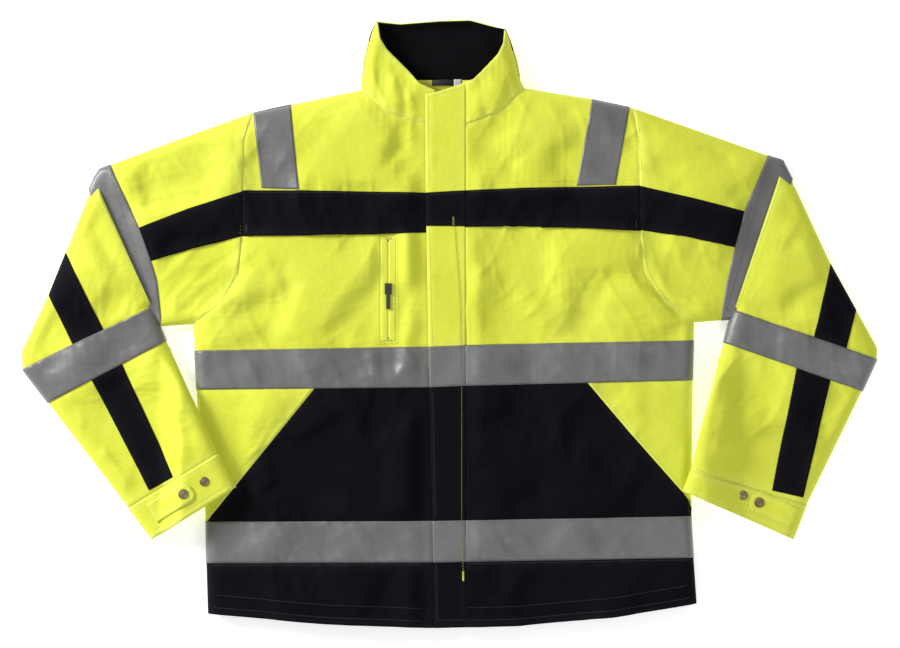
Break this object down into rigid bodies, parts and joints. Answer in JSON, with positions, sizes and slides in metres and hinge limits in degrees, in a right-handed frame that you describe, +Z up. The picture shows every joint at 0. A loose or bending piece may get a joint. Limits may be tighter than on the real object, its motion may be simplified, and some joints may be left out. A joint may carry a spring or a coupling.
{
  "type": "work jacket",
  "caption": "Zip-front high-visibility work jacket laid flat on its back, with a storm flap, stand collar, retroreflective tapes and snap cuffs.",
  "frame": {"origin": "middle of the laid jacket's footprint, at its lowest face (the back tapes)", "axes": "+X to the wearer's left, +Y from hem to collar, +Z up from the floor, out of the wearer's chest"},
  "size_m": [1.098, 0.776, 0.0531],
  "materials": {
    "yellow_cloth": "matte fluorescent yellow polyester",
    "navy_cloth": "matte dark navy polyester",
    "reflective_tape": "satin glass-bead tape",
    "black_trim": "black moulded zip and webbing",
    "zip_metal": "dull antique metal"
  },
  "bodies": {
    "torso": {"back_hem_band": "navy_cloth", "back_hem_tape": "reflective_tape", "back_panel": "yellow_cloth", "back_waist_tape": "reflective_tape", "biceps_left_tape": "reflective_tape", "biceps_right_tape": "reflective_tape", "brace_left_tape": "reflective_tape", "brace_right_tape": "reflective_tape", "collar_back": "yellow_cloth", "collar_lining": "navy_cloth", "hang_loop": "black_trim", "side_left_chest_band": "navy_cloth", "side_left_gusset": "yellow_cloth", "side_left_lower_panel": "navy_cloth", "side_left_panel": "yellow_cloth", "side_right_chest_band": "navy_cloth", "side_right_gusset": "yellow_cloth", "side_right_lower_panel": "navy_cloth", "side_right_panel": "yellow_cloth", "sleeve_left_band": "navy_cloth", "sleeve_left_upper": "yellow_cloth", "sleeve_right_band": "navy_cloth", "sleeve_right_upper": "yellow_cloth"},
    "front_right": {"chest_zip": "black_trim", "collar_right_front": "yellow_cloth", "front_right_chest_band": "navy_cloth", "front_right_hem_band": "navy_cloth", "front_right_hem_tape": "reflective_tape", "front_right_lower_panel": "navy_cloth", "front_right_panel": "yellow_cloth", "front_right_waist_tape": "reflective_tape", "zip_right_half": "black_trim"},
    "front_left": {"collar_left_front": "yellow_cloth", "front_left_chest_band": "navy_cloth", "front_left_hem_band": "navy_cloth", "front_left_hem_tape": "reflective_tape", "front_left_lower_panel": "navy_cloth", "front_left_panel": "yellow_cloth", "front_left_waist_tape": "reflective_tape", "zip_left_half": "black_trim"},
    "storm_flap": {"flap_chest_band": "navy_cloth", "flap_hem_tape": "reflective_tape", "flap_waist_tape": "reflective_tape", "storm_flap": "yellow_cloth", "storm_flap_lower": "navy_cloth"},
    "zip_slider": {"zip_slider": "zip_metal"},
    "zip_pull": {"zip_pull": "zip_metal"},
    "chest_zip_slider": {"chest_zip_slider": "zip_metal"},
    "sleeve_right": {"cuff_right": "yellow_cloth", "elbow_right_tape": "reflective_tape", "sleeve_right_lower": "yellow_cloth", "sleeve_right_stripe": "navy_cloth"},
    "sleeve_left": {"cuff_left": "yellow_cloth", "elbow_left_tape": "reflective_tape", "sleeve_left_lower": "yellow_cloth", "sleeve_left_stripe": "navy_cloth"},
    "cuff_right_tab": {"cuff_right_tab": "yellow_cloth"},
    "cuff_left_tab": {"cuff_left_tab": "yellow_cloth"}
  },
  "joints": [
    {"name": "front_right_fold", "type": "hinge", "parent": "torso", "child": "front_right", "pos_m": [-0.1367, 0.001, 0.0263], "axis": [-0.0751, -0.9972, 0], "range_deg": [0, 130]},
    {"name": "front_left_fold", "type": "hinge", "parent": "torso", "child": "front_left", "pos_m": [0.1207, 0.001, 0.0263], "axis": [-0.0751, 0.9972, 0], "range_deg": [0, 130]},
    {"name": "storm_flap_fold", "type": "hinge", "parent": "front_left", "child": "storm_flap", "pos_m": [0.0205, 0.001, 0.031], "axis": [0, 1, 0], "range_deg": [0, 170]},
    {"name": "zip_slide", "type": "slide", "parent": "front_left", "child": "zip_slider", "axis": [0, 1, 0], "range_m": [0, 0.62]},
    {"name": "zip_pull_swing", "type": "hinge", "parent": "zip_slider", "child": "zip_pull", "pos_m": [-0.0045, -0.353, 0.0249], "axis": [0, 0, 1], "range_deg": [-25, 25]},
    {"name": "chest_zip_slide", "type": "slide", "parent": "front_right", "child": "chest_zip_slider", "axis": [0, 1, 0], "range_m": [-0.055, 0.05]},
    {"name": "sleeve_right_swing", "type": "hinge", "parent": "torso", "child": "sleeve_right", "pos_m": [-0.454, 0.201, 0.0125], "axis": [0, 0, -1], "range_deg": [0, 20]},
    {"name": "sleeve_left_swing", "type": "hinge", "parent": "torso", "child": "sleeve_left", "pos_m": [0.436, 0.204, 0.0125], "axis": [0, 0, 1], "range_deg": [0, 20]},
    {"name": "cuff_right_tab_lift", "type": "hinge", "parent": "sleeve_right", "child": "cuff_right_tab", "pos_m": [-0.38133, -0.24439, 0.0257], "axis": [0.5334, -0.8459, 0], "range_deg": [0, 120]},
    {"name": "cuff_left_tab_lift", "type": "hinge", "parent": "sleeve_left", "child": "cuff_left_tab", "pos_m": [0.43444, -0.24402, 0.0257], "axis": [0.3985, 0.9172, 0], "range_deg": [0, 120]}
  ]
}
